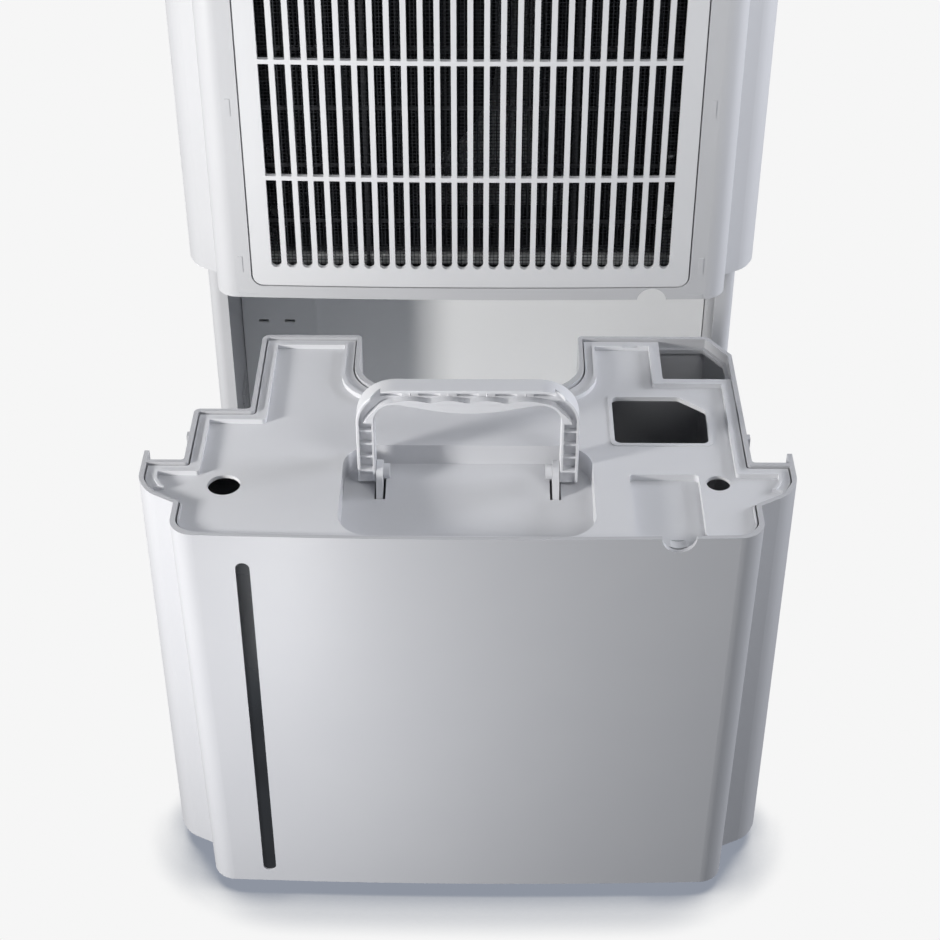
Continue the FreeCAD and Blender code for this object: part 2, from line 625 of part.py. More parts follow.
def drip_tray():
    main = frame_of(-150, 150, 26, 92, 6)
    chute = frame_of(128, 160, 80, 200, 6)
    tray = union([plate(main, DECK_Z1 + 0.1, 331), plate(chute, DECK_Z1 + 0.1, 331)])
    hollow = union([plate(inset(main, 2), DECK_Z1 + 2.1, 332), plate(inset(chute, 2), DECK_Z1 + 2.1, 332)])
    tray = tray.cut(hollow)
    spout = rod(7.5, (145, 186, 312.5), (145, 186, DECK_Z1 + 1))
    tray = union([tray, spout])
    return tray.cut(rod(5.5, (145, 186, 300), (145, 186, 331)))


def port_rod(radius, y0, y1):
    return rod(radius, (PORT_X, y0, PORT_Z), (PORT_X, y1, PORT_Z))


def hose_port():
    """Recessed rear outlet that a garden hose screws onto."""
    y0 = DEPTH - 26
    cup = port_rod(16.7, y0, DEPTH - 0.3).cut(port_rod(14.5, y0 + 2, DEPTH))
    port = union([cup, port_rod(9.0, y0, DEPTH - 4), port_rod(8.0, y0 - 14, y0 + 1)])
    return port.cut(port_rod(6.0, y0 - 20, DEPTH))


def drain_cap():
    grip = box(PORT_X - 7, PORT_X + 7, DEPTH - 1.5, DEPTH, PORT_Z - 1.8, PORT_Z + 1.8)
    return union([port_rod(13.8, DEPTH - 3.6, DEPTH - 1.0), port_rod(5.8, DEPTH - 16, DEPTH - 3), grip])


def power_inlet():
    """Moulded gland where a mains lead would enter the back."""
    y1 = DEPTH
    flange = rod(13, (-120, y1 - 5.2, 80), (-120, y1 - 2.8, 80))
    boss = rod(7.8, (-120, y1 - 12, 80), (-120, y1 - 0.2, 80))
    gland = union([flange, boss])
    return gland.cut(rod(4.2, (-120, y1 - 20, 80), (-120, y1 + 1, 80)))


# ================= intake =================

def panel_outline(gap):
    return frame_of(-PANEL_W + gap, PANEL_W - gap, PANEL_Z0 + gap, PANEL_Z1 - gap, 7)


def intake_grille():
    plan = cabinet_plan()
    skin = plate(plan, 300, 600).cut(plate(inset(plan, PANEL_T), 299, 601))
    panel = skin.common(upright(panel_outline(0), -10, 12))
    slots = []
    bands = [(SLOT_Z0, RIB_Z[0] - 1.5), (RIB_Z[0] + 1.5, RIB_Z[1] - 1.5), (RIB_Z[1] + 1.5, SLOT_Z1)]
    for i in range(SLOTS):
        x = (i - (SLOTS - 1) / 2) * SLOT_PITCH
        for k, (z0, z1) in enumerate(bands):
            low, high = (3.2, 0.4) if k == 0 else (0.4, 3.2 if k == 2 else 0.4)
            outline = [(x - SLOT_W / 2, z0, low), (x + SLOT_W / 2, z0, low), (x + SLOT_W / 2, z1, high),
                       (x - SLOT_W / 2, z1, high)]
            slots.append(upright(outline, -10, 12))
    hooks = [hook for z in (370, 510) for hook in both(box(138, 141, 4.4, 8.6, z, z + 14))]
    return union([panel] + hooks).cut(Part.makeCompound(slots))


def filter_frame():
    y0, y1 = 8.7, 12.7
    z0, z1 = PANEL_Z0 + 4.5, PANEL_Z1 - 5
    frame = upright(frame_of(-142, 142, z0, z1, 4), y0, y1)
    frame = frame.cut(upright(frame_of(-136, 136, z0 + 6, z1 - 6, 3), y0 - 1, y1 + 1))
    bar_places = [z0 + (z1 - z0) * i / 6 for i in range(1, 6)]
    bars = [box(-137, 137, y0 + 1.6, y1 - 0.4, z - 1.2, z + 1.2) for z in bar_places]
    uprights = [box(x - 1.2, x + 1.2, y0 + 1.6, y1 - 0.4, z0 + 5, z1 - 5) for x in (-68, 0, 68)]
    return union([frame] + bars + uprights)


def filter_mesh():
    return upright(frame_of(-135.8, 135.8, PANEL_Z0 + 10.7, PANEL_Z1 - 11.2, 3), 9.0, 9.9)


# ================= refrigeration =================

def coil(y0, y1, half):
    """Row of thin fins between two end plates, with return bends at both ends."""
    rails = [box(-half, half, y0, y1, z, z + 1) for z in (COIL_Z0, COIL_Z1 - 1)]
    pitch = 2 * half / FINS
    fins = [box(-half + i * pitch - 0.25, -half + i * pitch + 0.25, y0, y1, COIL_Z0, COIL_Z1)
            for i in range(1, FINS)]
    ends = both(box(half, half + 1.6, y0 - 1.5, y1 + 1.5, COIL_Z0 - 2, COIL_Z1 + 2))
    bends = []
    for i in range(5):
        z = COIL_Z0 + 22 + i * 44
        for side in (-1, 1):
            ring = Part.makeTorus(11, 4, V(side * (half + 1), (y0 + y1) / 2, z), V(0, 1, 0))
            keep = box(half + 1, half + 20, y0 - 5, y1 + 5, z - 20, z + 20)
            bends.append(ring.common(keep if side > 0 else mirrored(keep)))
    return union(rails + fins + ends + bends)


def fan_rod(radius, y0, y1):
    """Cylinder about the fan's axis."""
    return rod(radius, (FAN_X, y0, FAN_Z), (FAN_X, y1, FAN_Z))


def scroll_profile(gap):
    disc = fan_rod(SCROLL_R - gap, 94 + gap, 168 - gap)
    duct = box(FAN_X - 16 + gap, FAN_X + SCROLL_R - gap, 94 + gap, 168 - gap, FAN_Z, COVER_Z - 4 + gap)
    return disc.fuse(duct)


def fan_scroll():
    case = scroll_profile(0).removeSplitter().cut(scroll_profile(2.4))
    return case.cut(fan_rod(62, 90, 97)).cut(fan_rod(24, 164, 170))


def fan_wheel():
    ring = fan_rod(FAN_R, 101, 104).cut(fan_rod(FAN_R - 14, 100, 105))
    blades = []
    for i in range(24):
        blade = box(FAN_X - 1.0, FAN_X + 1.0, 102, 158, FAN_Z + FAN_R - 14, FAN_Z + FAN_R - 0.6)
        blade.rotate(V(FAN_X, 0, FAN_Z + FAN_R - 7), V(0, 1, 0), 28)
        blade.rotate(V(FAN_X, 0, FAN_Z), V(0, 1, 0), i * 15)
        blades.append(blade)
    wheel = union([fan_rod(14, 118, 161), fan_rod(FAN_R, 157, 160), ring] + blades)
    return wheel.cut(fan_rod(4.05, 110, 165))


def fan_motor():
    can = soften(fan_rod(42, 176, 226), 4, lambda edge: edge.BoundBox.YLength < 0.01)
    return union([can, fan_rod(16, 170, 177), fan_rod(4.0, 119, 171)])


def motor_bracket():
    """Steel cross that carries the motor off the scroll's back."""
    reach, foot_at = 78, 71
    arms = [box(FAN_X - reach, FAN_X + reach, 172.5, 175.7, FAN_Z - 8, FAN_Z + 8),
            box(FAN_X - 8, FAN_X + 8, 172.5, 175.7, FAN_Z - reach, FAN_Z + reach)]
    places = [(FAN_X - foot_at, FAN_Z), (FAN_X + foot_at, FAN_Z),
              (FAN_X, FAN_Z - foot_at), (FAN_X, FAN_Z + foot_at)]
    feet = [rod(6, (x, 168.3, z), (x, 173, z)) for x, z in places]
    return union([fan_rod(40, 172.5, 175.7)] + arms + feet).cut(fan_rod(16.5, 170, 180))


def comp_rod(radius, z0, z1):
    """Cylinder about the compressor's axis."""
    return rod(radius, (COMP_X, COMP_Y, z0), (COMP_X, COMP_Y, z1))


def compressor():
    can = soften(comp_rod(COMP_R, COMP_Z0, COMP_Z1), 22, lambda edge: edge.BoundBox.ZLength < 0.01)
    seam = comp_rod(COMP_R + 1.5, 450, 456)
    cap = comp_rod(12, COMP_Z1 - 1, COMP_Z1 + 8)
    hollow = comp_rod(COMP_R - 13, COMP_Z0 + 22, COMP_Z1 - 22)
    return union([can, seam, cap]).cut(hollow)


def compressor_plate():
    base = plate(frame_of(COMP_X - 60, COMP_X + 60, 162, 264, 14), COMP_Z0 - 6, COMP_Z0 - 3.5)
    base = union([base, comp_rod(31, COMP_Z0 - 4, COMP_Z0 - 0.1)])
    for x, y in grommet_places():
        base = base.cut(rod(4.2, (x, y, 320), (x, y, 345)))
    return base


def grommet_places():
    return [(COMP_X - 48, 252), (COMP_X + 48, 252), (COMP_X, 173)]


def compressor_grommets():
    feet = []
    low, high = COMP_Z0 - 6.1, COMP_Z0 - 3.4
    for x, y in grommet_places():
        sleeve = rod(4.0, (x, y, low - 2), (x, y, high + 2))
        foot = rod(8, (x, y, DECK_Z1 + 0.1), (x, y, low))
        head = rod(6.5, (x, y, high), (x, y, high + 2.4))
        feet.append(union([foot, sleeve, head]))
    return Part.makeCompound(feet)


def pipe(points, radius, bend):
    """Tube that follows straight runs joined by bends."""
    edges = []
    cursor = V(*points[0])
    for before, corner, after in zip(points, points[1:], points[2:]):
        corner_v = V(*corner)
        back = (V(*before) - corner_v).normalize() * bend
        ahead = (V(*after) - corner_v).normalize() * bend
        middle = corner_v + (back + ahead) * (1 - math.sqrt(0.5))
        edges.append(Part.makeLine(cursor, corner_v + back))
        edges.append(Part.Arc(corner_v + back, middle, corner_v + ahead).toShape())
        cursor = corner_v + ahead
    edges.append(Part.makeLine(cursor, V(*points[-1])))
    path = Part.Wire(edges)
    start = V(*points[0])
    heading = V(*points[1]) - start
    circle = Part.Wire(Part.makeCircle(radius, start, heading))
    return path.makePipeShell([circle], True, True)


def suction_pipe():
    """From the evaporator's end along the right side to the compressor's top."""
    x, y, z0 = COMP_X + 20, COMP_Y + 8, COMP_Z1 + 0.3
    route = [(x, y, z0), (x, y, PIPE_Z), (150, y, PIPE_Z), (150, 42, PIPE_Z), (129.9, 42, PIPE_Z)]
    return pipe(route, 4.0, 9.0)


def discharge_pipe():
    """From the compressor's top behind the motor to the condenser's left end."""
    x, y, z0 = COMP_X - 20, COMP_Y + 8, COMP_Z1 + 0.3
    route = [(x, y, z0), (x, y, PIPE_Z), (-140, y, PIPE_Z), (-140, 74, PIPE_Z), (-129.9, 74, PIPE_Z)]
    return pipe(route, 3.2, 9.0)


def run_capacitor():
    can = rod(20, (-150, 249, PAN_Z1 + 0.1), (-150, 249, 112))
    tabs = [box(x - 3, x + 3, 248.6, 249.4, 111, 121) for x in (-158, -142)]
    return union([can] + tabs)


def humidity_sensor():
    return union([box(158, 176, 40, 58, 540, 560), box(164, 170, 36, 41, 544, 556)])


def bucket_switch():
    """Micro switch above the bay, read by a lever that the bucket nears."""
    case = box(-158, -140, 196, 212, 296, 312)
    foot = box(-158, -140, 200, 210, 311, DECK_Z0)
    ears = [box(-158, -156, 186, 197, 298, 306), box(-142, -140, 186, 197, 298, 306)]
    return union([case, foot] + ears).cut(rod(1.05, (-165, 190, 302), (-135, 190, 302)))


def switch_lever():
    axle = rod(1.0, (-157.8, 190, 302), (-140.2, 190, 302))
    hub = rod(2.6, (-155.6, 190, 302), (-142.4, 190, 302))
    blade = box(-152, -146, 188.6, 190.4, 282, 302)
    return union([axle, hub, blade])


# ================= casters =================

def caster_fork(x, y):
    stem = rod(STEM_R, (x, y, 25), (x, y, PAN_Z1 - 2))
    crown = plate(frame_of(x - 7.6, x + 7.6, y - 6, y + TRAIL + 4, 4), 23.6, 27.4)
    cheek = sideways([(y - 2, 26, 1), (y + TRAIL + 4, 26, 2), (y + TRAIL + 4, WHEEL_R - 4, 4),
                      (y + TRAIL - 5, WHEEL_R - 4, 4)], x - 7.6, x - 5.4)
    other = cheek.translated(V(13.0, 0, 0))
    axle = rod(1.5, (x - 7.6, y + TRAIL, WHEEL_R), (x + 7.6, y + TRAIL, WHEEL_R))
    return union([stem, crown, cheek, other, axle])


def caster_wheel(x, y):
    wheel = rod(WHEEL_R, (x - WHEEL_T / 2, y + TRAIL, WHEEL_R), (x + WHEEL_T / 2, y + TRAIL, WHEEL_R))
    wheel = soften(wheel, 1.5, lambda edge: edge.BoundBox.XLength < 0.01)
    return wheel.cut(rod(1.56, (x - 10, y + TRAIL, WHEEL_R), (x + 10, y + TRAIL, WHEEL_R)))


# ================= build =================

def build_bucket():
    save("bucket_tub", bucket_tub(), BUCKET_Y)
    save("bucket_lid", bucket_lid(), BUCKET_Y)
    save("level_window", level_window(), BUCKET_Y)
    save("handle_pins", handle_pins(), BUCKET_Y)
    save("bucket_handle", bucket_handle(), BUCKET_Y)
    save("float_bracket", float_bracket(), BUCKET_Y)
    save("float_body", float_body(), BUCKET_Y)


def build_shells():
    save("front_fascia", front_fascia())
    save("side_wrap", side_wrap())
    save("grip_cup_right", grip_cup())
    save("grip_cup_left", mirrored(grip_cup()))
    save("top_cover", top_cover())
    save("outlet_grille", outlet_grille())
    save("control_panel", control_panel())
    save("display_lens", display_lens())
    save("control_board", control_board())
    for number, x in enumerate(BUTTON_X, 1):
        save("button_%d" % number, button(x))
    save("housing_screws", housing_screws())


def build_lower():
    save("lower_body", lower_body())
    save("base_pan", base_pan())
    save("bay_liner", bay_liner())
    save("mid_deck", mid_deck())
    save("drip_tray", drip_tray())
    save("hose_port", hose_port())
    save("drain_cap", drain_cap())
    save("power_inlet", power_inlet())
    for name, (x, y) in CASTERS.items():
        save("caster_fork_" + name, caster_fork(x, y))
        save("caster_wheel_" + name, caster_wheel(x, y))


def build_intake():
    save("intake_grille", intake_grille())
    save("filter_frame", filter_frame())
    save("filter_mesh", filter_mesh())


def build_machine():
    save("evaporator", coil(30, 54, 128))
    save("condenser", coil(62, 86, 128))
    save("fan_scroll", fan_scroll())
    save("fan_wheel", fan_wheel())
    save("fan_motor", fan_motor())
    save("motor_bracket", motor_bracket())
    save("compressor", compressor())
    save("compressor_plate", compressor_plate())
    save("compressor_grommets", compressor_grommets())
    save("suction_pipe", suction_pipe())
    save("discharge_pipe", discharge_pipe())
    save("run_capacitor", run_capacitor())
    save("humidity_sensor", humidity_sensor())
    save("bucket_switch", bucket_switch())
    save("switch_lever", switch_lever())


build_bucket()
build_shells()
build_lower()
build_intake()
build_machine()
print("nodes", len(os.listdir("parts")))
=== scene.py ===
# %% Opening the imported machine
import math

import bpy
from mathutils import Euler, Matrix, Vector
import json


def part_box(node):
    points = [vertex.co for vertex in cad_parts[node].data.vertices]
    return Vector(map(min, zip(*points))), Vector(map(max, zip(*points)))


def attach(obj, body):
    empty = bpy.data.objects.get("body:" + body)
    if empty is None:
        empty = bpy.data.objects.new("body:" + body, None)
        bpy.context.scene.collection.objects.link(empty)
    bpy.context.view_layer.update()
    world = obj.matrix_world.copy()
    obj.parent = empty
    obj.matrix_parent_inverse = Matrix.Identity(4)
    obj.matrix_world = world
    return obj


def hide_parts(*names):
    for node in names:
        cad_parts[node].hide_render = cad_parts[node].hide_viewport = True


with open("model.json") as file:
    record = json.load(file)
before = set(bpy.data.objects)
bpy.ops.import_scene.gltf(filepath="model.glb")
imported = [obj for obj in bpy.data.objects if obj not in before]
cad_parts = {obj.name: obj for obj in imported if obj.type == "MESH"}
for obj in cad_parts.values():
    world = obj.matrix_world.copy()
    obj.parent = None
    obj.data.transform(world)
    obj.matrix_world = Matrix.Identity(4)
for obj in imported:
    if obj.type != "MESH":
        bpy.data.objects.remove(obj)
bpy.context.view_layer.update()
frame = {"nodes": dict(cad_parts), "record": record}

# %% [markdown]
# A portable dehumidifier is a stack of moulded white shells round a small refrigeration plant. The CAD
# nodes give every shell its true size, so this lesson only measures them, gives each one a finish, and adds
# the few pieces that are finer than moulded walls: the woven filter net, the soft round edges and the marks
# on the keys.

MM = 0.001
BUCKET_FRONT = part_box("bucket_tub")[0][1]

# %% [markdown]
# Designers note colours as sRGB hex values, but light adds up in linear values. One function turns the
# first into the second, so that every colour below can be read off a colour chart.

# %% Colours
def colour(hex_code):
    """sRGB hex to a linear RGBA tuple."""
    parts = [int(hex_code[i:i + 2], 16) / 255 for i in (0, 2, 4)]
    linear = [p / 12.92 if p <= 0.04045 else ((p + 0.055) / 1.055) ** 2.4 for p in parts]
    return (*linear, 1.0)


print("white ABS in linear values:", [round(c, 3) for c in colour("C4C5C8")])

# %% [markdown]
# Every finish is a small tree of shader nodes. One function adds any node: it sets the node's own options,
# and each input gets either a plain value or a wire from another node's output. Two more use it: one starts
# a material, and one blends two colours, since no real finish is one flat colour.

# %% One way to add a node
def add(tree, kind, wires=None, **options):
    """Add a node; wires maps an input's name to a value or to another node's output."""
    node = tree.nodes.new(kind)
    for name, value in options.items():
        setattr(node, name, value)
    for name, value in (wires or {}).items():
        socket = node.inputs[name]
        if isinstance(value, bpy.types.NodeSocket):
            tree.links.new(value, socket)
        else:
            socket.default_value = value
    return node


def start_material(name):
    """An empty material with one Principled shader wired to its output, and object coordinates in metres."""
    material = bpy.data.materials.new(name)
    material.use_nodes = True
    tree = material.node_tree
    tree.nodes.clear()
    shader = add(tree, "ShaderNodeBsdfPrincipled")
    add(tree, "ShaderNodeOutputMaterial", {"Surface": shader.outputs["BSDF"]})
    place = add(tree, "ShaderNodeTexCoord").outputs["Object"]
    return material, tree, shader, place


def blend_colours(tree, factor, first, second):
    """Blend two hex colours by a factor; returns the output that carries the colour."""
    ends = {"Factor": factor, "A": colour(first), "B": colour(second)}
    mix = add(tree, "ShaderNodeMix", ends, data_type="RGBA")
    return mix.outputs["Result"]


# %% [markdown]
# Nearly all of the machine is injection-moulded plastic. The steel mould gives its own skin to the plastic:
# spark-eroded steel leaves a fine even grain, polished steel leaves a satin face. Under that the pigment is
# never quite even. So one recipe serves every moulding: a faint cloudiness a few centimetres across in the
# colour, and a grain in the surface whose size is given in millimetres. The grain of a real shell is about
# 0.3 mm, too fine to show from here, so it is drawn at least twice as coarse.
#
# The whites are set greyer than real white plastic, and the bucket's greyer than the cabinet's: the bucket's
# extra grey is painted shade. The bay lining is set nearly pure white, paler than the cabinet, and that is
# painted light.
# Their tones were matched together with the lamps further down, so under other lamps the greyed whites would
# have to be paler.

# %% Moulded plastic
CLOUD_MM = 45.0


def moulded(name, light, shade, roughness, grain_mm, depth_mm, coat=0.0):
    """A moulding whose pigment drifts between two close colours under a fine mould grain."""
    material, tree, shader, place = start_material(name)
    cloud = add(tree, "ShaderNodeTexNoise", {"Vector": place, "Scale": 1 / (CLOUD_MM * MM), "Detail": 3.0})
    pigment = blend_colours(tree, cloud.outputs["Fac"], light, shade)
    grain = add(tree, "ShaderNodeTexNoise", {"Vector": place, "Scale": 1 / (grain_mm * MM), "Detail": 2.0})
    wear = add(tree, "ShaderNodeMapRange", {
        "Value": grain.outputs["Fac"], "From Min": 0.3, "From Max": 0.7,
        "To Min": roughness - 0.03, "To Max": roughness + 0.03})
    skin = add(tree, "ShaderNodeBump", {
        "Height": grain.outputs["Fac"], "Distance": depth_mm * MM, "Strength": 0.5})
    tree.links.new(pigment, shader.inputs["Base Color"])
    tree.links.new(wear.outputs["Result"], shader.inputs["Roughness"])
    tree.links.new(skin.outputs["Normal"], shader.inputs["Normal"])
    shader.inputs["IOR"].default_value = 1.5
    shader.inputs["Coat Weight"].default_value = coat
    return material


textured_abs = moulded("white ABS, spark-eroded grain", "C4C5C8", "C0C1C4", 0.46, 0.6, 0.03)
# The bucket's extra grey over the cabinet's white is painted shade.
satin_abs_painted_shade = moulded("white ABS, satin moulded, greyed as painted shade", "B6B7BA", "B2B3B7", 0.36, 0.9, 0.012)
grille_abs = moulded("white ABS, satin grille", "D8D9DB", "D4D5D8", 0.38, 0.9, 0.012)
lid_pp = moulded("pale grey polypropylene, satin moulded", "CECFD2", "C9CACE", 0.38, 1.2, 0.012)
handle_pp = moulded("pale grey polypropylene, handle", "D4D5D8", "CFD0D4", 0.34, 1.0, 0.01)
# The bay lining's near-white, paler than the cabinet's, is painted light.
bay_abs_painted_light = moulded("white ABS, bay lining, brightened as painted light", "FAFBFB", "F6F7F8", 0.42, 0.9, 0.02)
base_abs = moulded("grey ABS, base", "B9BCC2", "B2B5BB", 0.5, 0.8, 0.03)
port_nylon = moulded("grey nylon, port fittings", "A5A8AE", "9EA1A7", 0.45, 0.7, 0.02)
black_pp = moulded("black polypropylene", "25262A", "1E1F22", 0.5, 0.7, 0.02)
black_nylon = moulded("black nylon", "2A2B2E", "232427", 0.42, 0.7, 0.02)
key_abs = moulded("pale keys, satin moulded", "DCDEE2", "D5D7DB", 0.35, 0.6, 0.01)
gloss_panel = moulded("grey control panel, gloss moulded", "8E939B", "878C94", 0.16, 1.5, 0.002, coat=0.3)
float_foam = moulded("closed-cell foam", "EDEBE4", "DAD8D0", 0.8, 1.6, 0.25)
print("moulded finishes:", len(bpy.data.materials))

# %% [markdown]
# The level window is a strip of smoked acrylic with a hard bright gloss. It is drawn with no see-through, so
# its dark tone is partly the smoke and partly painted shade standing for the shaded inside of the bucket
# behind it. The display lens is the same acrylic in black. The smoke drifts over several centimetres, as it
# does in cast sheet.

# %% Smoked acrylic
SMOKE_MM = 60.0


def acrylic(name, tint, roughness):
    """Polished smoked acrylic with no see-through, so its dark tint also stands as painted shade for what
    lies behind it.
    """
    material, tree, shader, place = start_material(name)
    depth = add(tree, "ShaderNodeTexNoise", {"Vector": place, "Scale": 1 / (SMOKE_MM * MM)})
    tone = blend_colours(tree, depth.outputs["Fac"], tint, "0C0D0F")
    tree.links.new(tone, shader.inputs["Base Color"])
    shader.inputs["Roughness"].default_value = roughness
    shader.inputs["IOR"].default_value = 1.49
    return material


# The window's dark tone is partly smoke and partly painted shade for the bucket's shaded inside.
window_acrylic_painted_shade = acrylic("smoked acrylic window with painted shade", "2A2D31", 0.12)
lens_acrylic = acrylic("black acrylic, display lens", "08090B", 0.05)

# %% [markdown]
# The metals are plain mill finishes. Rolled and drawn metal has fine lines along the way it was pulled, so
# its colour and roughness are stretched into streaks one or two millimetres apart. Copper tube is handled
# afterwards, so it is blotchy instead.

# %% Metals
def metal(name, light, shade, roughness, streak_mm, stretch):
    """Bare metal with rolled streaks; stretch is how much longer than wide they are along Z."""
    material, tree, shader, place = start_material(name)
    pull = add(tree, "ShaderNodeMapping", {"Vector": place, "Scale": (1.0, 1.0, 1.0 / stretch)})
    drawn = pull.outputs["Vector"]
    streak = add(tree, "ShaderNodeTexNoise", {"Vector": drawn, "Scale": 1 / (streak_mm * MM)})
    tone = blend_colours(tree, streak.outputs["Fac"], light, shade)
    dull = add(tree, "ShaderNodeMapRange", {
        "Value": streak.outputs["Fac"], "To Min": roughness - 0.08, "To Max": roughness + 0.12})
    tree.links.new(tone, shader.inputs["Base Color"])
    tree.links.new(dull.outputs["Result"], shader.inputs["Roughness"])
    shader.inputs["Metallic"].default_value = 1.0
    return material


can_aluminium = metal("aluminium, drawn can", "CFD1D3", "BDBFC1", 0.32, 1.5, 6)
zinc_steel = metal("steel, zinc plated sheet", "C4C6C8", "A9ACAF", 0.38, 2.0, 4)
copper_tube = metal("copper, drawn tube", "D08A62", "A9603C", 0.3, 6.0, 1.2)

# %% [markdown]
# The compressor is enamelled steel, its feet are rubber, and the circuit board is glass cloth under green
# lacquer. The coils' fins are drawn near-black: that dark is painted shade, which stands for the darkness
# behind the slots. The filter net's dark grey threads are darkened for the same painted shade. Each borrows
# the moulded recipe's grain with its own sizes, since all of them are skins over something smooth.

# %% Enamel, rubber, coats and board
# The fins' near-black is painted shade for the dark behind the slots.
fins_painted_shade = moulded("aluminium fins, near-black as painted shade", "23262A", "1A1C20", 0.5, 0.6, 0.01)
black_enamel = moulded("black enamel on steel", "1B1C1E", "141517", 0.28, 2.5, 0.02, coat=0.4)
moulded_rubber = moulded("black rubber, moulded", "1C1C1D", "161617", 0.7, 0.5, 0.04)
board_lacquer = moulded("green lacquer on glass cloth", "1E5A38", "174C2E", 0.3, 0.5, 0.01)
# The net's dark grey thread is darkened further as painted shade for the slots.
net_nylon_painted_shade = moulded("dark grey nylon thread, darkened as painted shade", "34373C", "2B2E33", 0.6, 0.4, 0.02)
mark_ink = moulded("grey pad-printing ink", "5A5E66", "4F535B", 0.55, 0.4, 0.01)

# %% [markdown]
# Each record slot gets one of these finishes. Reading the slots keeps the pairing in one table that follows
# the parts list, and a later repaint of a slot finds every piece of it.

# %% Finishes on the CAD nodes
FINISH = {
    "cabinet_shell": textured_abs, "base_plastic": base_abs, "panel_white": grille_abs,
    "bucket_shell": satin_abs_painted_shade, "bucket_trim": lid_pp, "handle_plastic": handle_pp,
    "bay_plastic": bay_abs_painted_light, "tray_plastic": bay_abs_painted_light, "clear_window": window_acrylic_painted_shade,
    "control_gloss": gloss_panel, "display_black": lens_acrylic, "key_plastic": key_abs,
    "circuit_board": board_lacquer, "screw_steel": zinc_steel, "filter_plastic": black_pp,
    "filter_net": net_nylon_painted_shade, "coil_fins": fins_painted_shade, "fan_plastic": black_pp,
    "motor_can": can_aluminium, "bracket_steel": zinc_steel, "compressor_black": black_enamel,
    "grommet_rubber": moulded_rubber, "copper_tube": copper_tube, "switch_plastic": black_nylon,
    "port_plastic": port_nylon, "float_foam": float_foam, "caster_fork": black_nylon,
    "caster_tread": black_nylon,
}

for entry in frame["record"]["subparts"]:
    node = frame["nodes"][entry["node"]]
    node.data.materials.clear()
    node.data.materials.append(FINISH[entry["material_slot"]])
print("finished nodes:", len(frame["nodes"]))

# %% [markdown]
# No moulding has knife edges: the mould's edges wear round, and that thin rounded line is what catches the
# light on a white object. A bevel modifier rounds only the sharp edges and leaves the walls where the CAD
# put them.

# %% Soft edges
SOFT_EDGE_MM = {
    "bucket_tub": 0.5, "bucket_lid": 0.4, "bucket_handle": 0.35, "intake_grille": 0.7,
    "front_fascia": 0.6, "side_wrap": 0.5, "lower_body": 0.5, "grip_cup_right": 0.4,
    "grip_cup_left": 0.4, "outlet_grille": 0.3, "bay_liner": 0.4, "base_pan": 0.5,
}


def soft_edges(node, width_mm):
    """Round the edges where two faces meet at more than 40 degrees."""
    bevel = node.modifiers.new("rounded mould edge", "BEVEL")
    bevel.width = width_mm * MM
    bevel.segments = 2
    bevel.limit_method = "ANGLE"
    bevel.angle_limit = math.radians(40)


for name, width_mm in SOFT_EDGE_MM.items():
    soft_edges(frame["nodes"][name], width_mm)
print("nodes with rounded edges:", len(SOFT_EDGE_MM))

# %% [markdown]
# The filter behind the slots is a woven nylon net stretched over the black frame. Its real threads are
# about 0.25 mm thick and 1 mm apart. Woven that fine the net would only shimmer, so it is drawn coarser,
# with threads 2.4 mm apart. Each thread is a square bar, and the two directions lie on either side of one
# plane. That is simpler than a real weave, and enough for a net that is seen only in strips between the
# slots' bars.

# %% Filter net
NET_PITCH = 2.4 * MM
THREAD = 0.3 * MM


def add_piece(name, points, faces, material, body):
    """A new piece made of points and faces, which rides on one body."""
    mesh = bpy.data.meshes.new(name)
    mesh.from_pydata(points, [], faces)
    mesh.materials.append(material)
    piece = bpy.data.objects.new(name, mesh)
    bpy.context.scene.collection.objects.link(piece)
    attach(piece, body)
    return piece


def add_bar(points, faces, low, high):
    """Append one box between two corners to a list of points and faces."""
    first = len(points)
    spans = list(zip(low, high))
    points += [(x, y, z) for x in spans[0] for y in spans[1] for z in spans[2]]
    sides = [(0, 1, 3, 2), (4, 6, 7, 5), (0, 4, 5, 1), (2, 3, 7, 6), (0, 2, 6, 4), (1, 5, 7, 3)]
    faces += [tuple(first + corner for corner in side) for side in sides]


def weave(low, high):
    """Net of crossed threads that fills the XZ rectangle between two corners."""
    points, faces = [], []
    half = THREAD / 2
    middle = (low[1] + high[1]) / 2
    count_x = round((high[0] - low[0]) / NET_PITCH)
    for i in range(1, count_x):
        x = low[0] + i * (high[0] - low[0]) / count_x
        add_bar(points, faces, (x - half, middle, low[2]), (x + half, middle + THREAD, high[2]))
    count_z = round((high[2] - low[2]) / NET_PITCH)
    for i in range(1, count_z):
        z = low[2] + i * (high[2] - low[2]) / count_z
        add_bar(points, faces, (low[0], middle - THREAD, z - half), (high[0], middle, z + half))
    return points, faces, count_x + count_z - 2


points, faces, threads = weave(*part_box("filter_mesh"))
net = add_piece("filter_net", points, faces, net_nylon_painted_shade, "intake_panel")
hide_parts("filter_mesh")
print("threads in the net:", threads)

# %% [markdown]
# Each key carries a small printed mark, so that the six can be told apart. Real keys carry symbols: here
# plain dots, one to six of them in a ring, stand for those without copying anyone's set. A dot is a disc
# 0.05 mm thick, sunk a little into the key's face so that no gap shows, and it rides with its key.

# %% Marks on the keys
KEYS = 6
DOT_RADIUS = 0.8 * MM
DOT_THICK = 0.05 * MM
DOT_SUNK = 0.02 * MM
DOT_RING = 2.6 * MM


